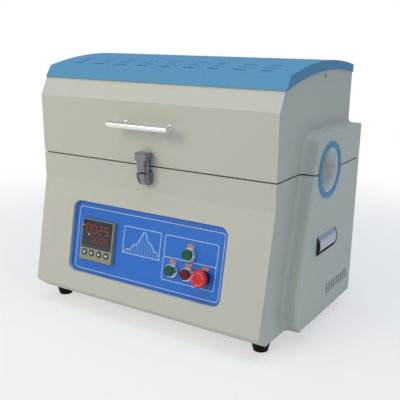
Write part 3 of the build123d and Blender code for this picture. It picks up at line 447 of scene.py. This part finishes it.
def makeWord(name, text, u, v):
    # Text made a mesh, then set on the panel by its middle. A letter is a share of the font's size.
    data = bpy.data.curves.new(name, "FONT")
    data.body = text
    data.size = labels["height"] / 1000 / labels["letterShare"]
    data.align_x, data.align_y = "CENTER", "CENTER"
    data.offset = labels["bold"]
    data.extrude = labels["thick"] / 2000
    words = bpy.data.objects.new(name + "Text", data)
    bpy.context.scene.collection.objects.link(words)
    bpy.context.view_layer.update()
    mesh = bpy.data.meshes.new_from_object(words)
    bpy.data.objects.remove(words)
    middle = onPanel(u, v, panelFace["plate"] + labels["lift"] + labels["thick"] / 2)
    axes = [Vector(panelRight), Vector(-panelDown), Vector(panelOut)]
    mesh.transform(Matrix.Translation(middle) @ Matrix(axes).transposed().to_4x4())
    mesh.materials.clear()
    mesh.materials.append(inks["orange"].material)
    word = bpy.data.objects.new(name, mesh)
    bpy.context.scene.collection.objects.link(word)
    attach(word, "base")


for number, (text, u, v) in enumerate(labels["words"]):
    makeWord(f"buttonWord{number}", text, u, v)
print("labels set")

# The controller's face. A row is its digits, left, top, digit width and height, bar width and pitch;
# a dot is its place and radius.
display = {
    "top": 0.4, "lift": 0.03, "thick": 0.1, "pullIn": 0.3,
    "rows": [("0025", -166.0, 95.0, 14.0, 21.5, 2.3, 18.3), ("0000", -147.0, 122.5, 9.6, 14.0, 1.7, 12.8)],
    "dots": [(-174.0, 99.0, 1.6), (-155.0, 119.5, 1.9)], "dotDome": 0.15,
    "keys": {"key_set": (-164.4, 162.0), "key_shift": (-142.8, 162.0), "key_down": (-121.2, 162.0),
             "key_up": (-99.6, 162.0)},
    "keyTop": 0.9, "markRadius": 3.3, "markDome": 0.3,
}
segmentEnds = {"a": ((0, 0), (1, 0)), "b": ((1, 0), (1, 1)), "c": ((1, 1), (1, 2)), "d": ((0, 2), (1, 2)),
               "e": ((0, 1), (0, 2)), "f": ((0, 0), (0, 1)), "g": ((0, 1), (1, 1))}
segmentsOf = {"0": "abcdef", "1": "bc", "2": "abdeg", "3": "abcdg", "4": "bcfg", "5": "acdfg", "6": "acdefg",
              "7": "abc", "8": "abcdefg", "9": "abcdfg"}


def digitSheets(text, uLeft, vTop, wide, tall, bar, pitch, base):
    # Each lit segment is a line between two corners of the figure eight, pulled in at both ends.
    sheets = []
    for place, figure in enumerate(text):
        for key in segmentsOf[figure]:
            line = np.array(segmentEnds[key], float) * (wide - bar, (tall - bar) / 2)
            line += (uLeft + place * pitch + bar / 2, vTop + bar / 2)
            way = (line[1] - line[0]) / np.linalg.norm(line[1] - line[0])
            line += np.array([way, -way]) * bar * display["pullIn"]
            sheets.append(inkLine(line, bar, base, thick=display["thick"]))
    return sheets


def discSheet(u, v, radius, base, dome, rings=5, steps=24, pole=0.02):
    # A low dome: rings of radius r at height dome times (1 - r squared), closed at its pole.
    r = np.linspace(1, pole, rings)[:, None]
    turn = np.linspace(0, 2 * math.pi, steps, endpoint=False)[None, :]
    points = onPanel(u + radius * r * np.cos(turn), v + radius * r * np.sin(turn), base + dome * (1 - r ** 2))
    return points, gridFaces(rings, steps, closeColumns=True), ringEnds(rings, steps)[1]


def fillController(d):
    base = d["top"] + d["lift"]
    digits = []
    for row in d["rows"]:
        digits += digitSheets(*row, base)
    makePiece("displayDigits", digits, "base", inks["segments"])
    dots = [discSheet(u, v, r, base, d["dotDome"]) for u, v, r in d["dots"]]
    makePiece("displayDots", dots, "base", inks["white"], True)
    for key, (u, v) in d["keys"].items():
        mark = discSheet(u, v, d["markRadius"], d["keyTop"] + d["lift"], d["markDome"])
        makePiece(key + "Mark", [mark], key, inks["white"], True)


fillController(display)
print("controller filled in")

# Turning arrows on the emergency stop: millimetres, and degrees for arc and starts
stopArrows = {
    "middle": (160.0, 158.5), "face": 18.0, "lift": 0.06, "radius": 13.0, "width": 1.0, "arc": 76.0,
    "head": 3.4, "headWidth": 3.0, "point": 0.05, "arcSteps": 16, "headSteps": 5, "top": 0.8,
    "thick": 0.08, "starts": [20.0, 140.0, 260.0],
}


def drawArrows(a):
    # Arcs about the stop's middle, each ended by a head that narrows from three widths to a point.
    sheets = []
    section = np.array([[-1.0, -a["top"], a["top"], 1.0]])
    rise = a["face"] + a["lift"] + np.array([[0.0, a["thick"], a["thick"], 0.0]])
    for start in a["starts"]:
        turn = np.radians(np.linspace(start, start + a["arc"], a["arcSteps"]))
        tip = turn[-1] + a["head"] / a["radius"] * np.linspace(0, 1, a["headSteps"])
        angle = np.concatenate([turn, tip])[:, None]
        shaft = np.full(a["arcSteps"], a["width"] / 2)
        head = np.linspace(a["headWidth"] * a["width"] / 2, a["point"], a["headSteps"])
        half = np.concatenate([shaft, head])[:, None]
        reach = a["radius"] + half * section
        u = a["middle"][0] + reach * np.cos(angle)
        v = a["middle"][1] + reach * np.sin(angle)
        sheets.append((onPanel(u, v, rise), gridFaces(len(angle), 4)))
    makePiece("stopArrows", sheets, "estop_mushroom", inks["pink"])


drawArrows(stopArrows)
print("stop arrows drawn")

# Wound heating coils, in runs along the bore that are joined in turn at their ends; metres and degrees
coil = {
    "y": 0.015161, "z": 0.364, "bore": 0.052, "reach": 0.212, "runs": 7, "firstAngle": 18.0,
    "radius": 0.0027, "wire": 0.00055, "pitch": 0.0042, "stepsPerTurn": 10, "sides": 5,
    "hopSteps": 12, "hopWire": 1.3, "hopSides": 6,
}


def wireTube(path, radius, sides):
    # A circle of points about each path point, in the plane across the path's own direction.
    # A tiny nudge gives the circle its first direction where the path is straight.
    nudge = 1e-6 * np.array([0.3, 0.5, 0.8])
    ahead = np.gradient(path, axis=0)
    ahead /= np.linalg.norm(ahead, axis=1, keepdims=True)
    bend = np.gradient(ahead, axis=0) + nudge
    side = bend - (bend * ahead).sum(1, keepdims=True) * ahead
    side /= np.linalg.norm(side, axis=1, keepdims=True)
    other = np.cross(side, ahead)
    turn = np.linspace(0, 2 * math.pi, sides, endpoint=False)[None, :, None]
    points = path[:, None, :] + radius * (np.cos(turn) * side[:, None, :] + np.sin(turn) * other[:, None, :])
    return points, gridFaces(len(path), sides, closeColumns=True), *ringEnds(len(path), sides)


def coilSheets(c, half):
    # Run i: x goes along the bore while the wire circles the run's own axis; half is -1 below and 1 above.
    step = (180 - 2 * c["firstAngle"]) / (c["runs"] - 1)
    angles = half * np.radians(c["firstAngle"] + step * np.arange(c["runs"]))
    turns = 2 * c["reach"] / c["pitch"]
    t = np.linspace(0, 1, int(turns * c["stepsPerTurn"]))
    spin = 2 * math.pi * turns * t[:, None]
    x = (-1 + 2 * t)[:, None] * c["reach"] * np.array([1, 0, 0])
    sheets = []
    for i, angle in enumerate(angles):
        outward = np.array([0, math.cos(angle), math.sin(angle)])
        sideways = np.array([0, -math.sin(angle), math.cos(angle)])
        axis = np.array([0, c["y"], c["z"]]) + c["bore"] * outward
        path = axis + x + c["radius"] * (np.cos(spin) * outward + np.sin(spin) * sideways)
        sheets.append(wireTube(path, c["wire"], c["sides"]))
        if i + 1 < len(angles):
            sweep = np.linspace(angle, angles[i + 1], c["hopSteps"])[:, None]
            end = c["reach"] if i % 2 == 0 else -c["reach"]
            circle = np.cos(sweep) * np.array([0, 1, 0]) + np.sin(sweep) * np.array([0, 0, 1])
            hop = np.array([end, c["y"], c["z"]]) + c["bore"] * circle
            sheets.append(wireTube(hop, c["wire"] * c["hopWire"], c["hopSides"]))
    return sheets


for node, half, body in (("lower_heater", -1, "base"), ("upper_heater", 1, "lid")):
    alloy = finishes["heater_alloy"]
    piece = makePiece(node + "Coil", coilSheets(coil, half), body, alloy, True)
    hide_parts(node)
print("coils wound")

# Floor, light and sky. A lamp is its name, place, size, power and colour; near and far are the
# distances over which the floor fades to plain white in the picture.
studio = {
    "floorSize": 12.0, "floorSteps": 9, "floorColour": (0.86, 0.86, 0.86), "floorRough": 0.9,
    "lift": 0.55, "near": 0.6, "far": 1.8,
    "sky": (0.7, 0.85, 1.0), "skyLight": 0.45, "aim": (0, 0, 0.28),
    "lamps": [
        ("keyLamp", (-1.1, -2.6, 1.7), 1.8, 36.0, (1.0, 0.84, 0.54)),
        ("topLamp", (0.2, -0.3, 2.6), 2.0, 26.0, (0.72, 0.87, 1.0)),
        ("sideLamp", (2.8, 0.2, 1.2), 1.6, 2.5, (0.72, 0.87, 1.0)),
    ],
}


def floorFinish(s):
    # Pale paint that keeps its shadow, mixed with plain white where the camera or a reflection sees it.
    ground = Finish("floorPaint", Roughness=s["floorRough"], Base_Color=(*s["floorColour"], 1))
    seen = ground.add("ShaderNodeLightPath", out=0)
    glossy = ground.add("ShaderNodeLightPath", out=3)
    spot = ground.add("ShaderNodeVectorMath", {"operation": "LENGTH"}, {0: ground.place()}, out=1)
    away = ground.add("ShaderNodeMapRange", {"interpolation_type": "SMOOTHSTEP"}, {
        "Value": spot, "From Min": s["near"], "From Max": s["far"], "To Min": s["lift"], "To Max": 1.0})
    white = ground.add("ShaderNodeEmission", None, {"Color": (1, 1, 1, 1), "Strength": 1.0})
    share = ground.add("ShaderNodeMath", {"operation": "MAXIMUM"}, {0: seen, 1: glossy}) * away
    painted = Socket(ground, ground.shader.outputs[0])
    mixed = ground.add("ShaderNodeMixShader", None, {0: share, 1: painted, 2: white})
    ground.tree.links.new(mixed.link, ground.tree.nodes["Material Output"].inputs["Surface"])
    return ground


def makeFloor(s):
    # A square sheet of even steps about the middle.
    steps = np.linspace(-1, 1, s["floorSteps"]) * s["floorSize"]
    x, y = np.meshgrid(steps, steps, indexing="ij")
    mesh = bpy.data.meshes.new("floor")
    faces = gridFaces(s["floorSteps"], s["floorSteps"])
    mesh.from_pydata(np.stack([x, y, 0 * x], -1).reshape(-1, 3).tolist(), [], faces.tolist())
    mesh.materials.append(floorFinish(s).material)
    floor = bpy.data.objects.new("floor", mesh)
    bpy.context.scene.collection.objects.link(floor)


def makeSky(s):
    # A plain sky lights the object, and the camera sees white in its place.
    world = bpy.data.worlds.new("studioSky")
    world.use_nodes = True
    sky = world.node_tree
    sky.nodes.clear()
    path = sky.nodes.new("ShaderNodeLightPath")
    plain = sky.nodes.new("ShaderNodeBackground")
    bright = sky.nodes.new("ShaderNodeBackground")
    mix = sky.nodes.new("ShaderNodeMixShader")
    out = sky.nodes.new("ShaderNodeOutputWorld")
    plain.inputs["Color"].default_value = (*s["sky"], 1)
    plain.inputs["Strength"].default_value = s["skyLight"]
    bright.inputs["Color"].default_value = (1, 1, 1, 1)
    sky.links.new(path.outputs["Is Camera Ray"], mix.inputs[0])
    sky.links.new(plain.outputs[0], mix.inputs[1])
    sky.links.new(bright.outputs[0], mix.inputs[2])
    sky.links.new(mix.outputs[0], out.inputs["Surface"])
    bpy.context.scene.world = world


def hangLamps(s):
    for name, place, size, power, colour in s["lamps"]:
        lamp = bpy.data.lights.new(name, "AREA")
        lamp.shape, lamp.size, lamp.energy, lamp.color = "DISK", size, power, colour
        holder = bpy.data.objects.new(name, lamp)
        holder.location = place
        holder.rotation_euler = (Vector(s["aim"]) - Vector(place)).to_track_quat("-Z", "Y").to_euler()
        bpy.context.scene.collection.objects.link(holder)


makeFloor(studio)
makeSky(studio)
hangLamps(studio)
bpy.context.scene.view_settings.view_transform = "Standard"
print("studio lit")
